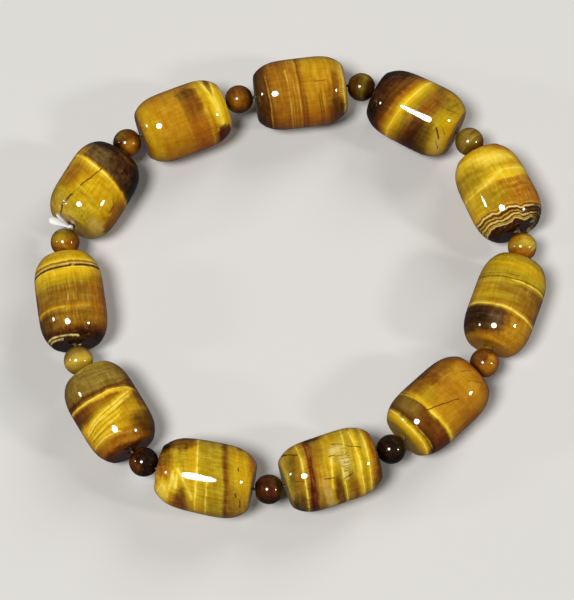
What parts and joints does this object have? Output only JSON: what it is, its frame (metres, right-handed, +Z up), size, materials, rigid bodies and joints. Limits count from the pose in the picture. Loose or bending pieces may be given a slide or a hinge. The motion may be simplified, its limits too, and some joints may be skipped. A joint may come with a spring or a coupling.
{
  "type": "beaded stretch bracelet",
  "caption": "Stretch bracelet of polished tiger's-eye barrel beads and small round spacer beads on a white elastic cord, lying flat in a loose oval loop.",
  "frame": {"origin": "on the table under the middle of the loop: the bottom centre of the bounding box", "axes": "+Z up from the table through the loop, +X along the longer way across the loop, the knot on the -X side"},
  "size_m": [0.0882, 0.0842, 0.0121],
  "materials": {
    "barrel_stone": "polished tiger's eye, golden bands",
    "spacer_stone": "polished tiger's eye, brown bands",
    "elastic": "white elastic cord"
  },
  "bodies": {
    "root": {"barrel_bead_01": "barrel_stone", "barrel_bead_02": "barrel_stone", "barrel_bead_03": "barrel_stone", "barrel_bead_04": "barrel_stone", "barrel_bead_05": "barrel_stone", "barrel_bead_06": "barrel_stone", "barrel_bead_07": "barrel_stone", "barrel_bead_08": "barrel_stone", "barrel_bead_09": "barrel_stone", "barrel_bead_10": "barrel_stone", "barrel_bead_11": "barrel_stone", "spacer_bead_01": "spacer_stone", "spacer_bead_02": "spacer_stone", "spacer_bead_03": "spacer_stone", "spacer_bead_04": "spacer_stone", "spacer_bead_05": "spacer_stone", "spacer_bead_06": "spacer_stone", "spacer_bead_07": "spacer_stone", "spacer_bead_08": "spacer_stone", "spacer_bead_09": "spacer_stone", "spacer_bead_10": "spacer_stone", "spacer_bead_11": "spacer_stone", "elastic_cord": "elastic"}
  },
  "joints": []
}
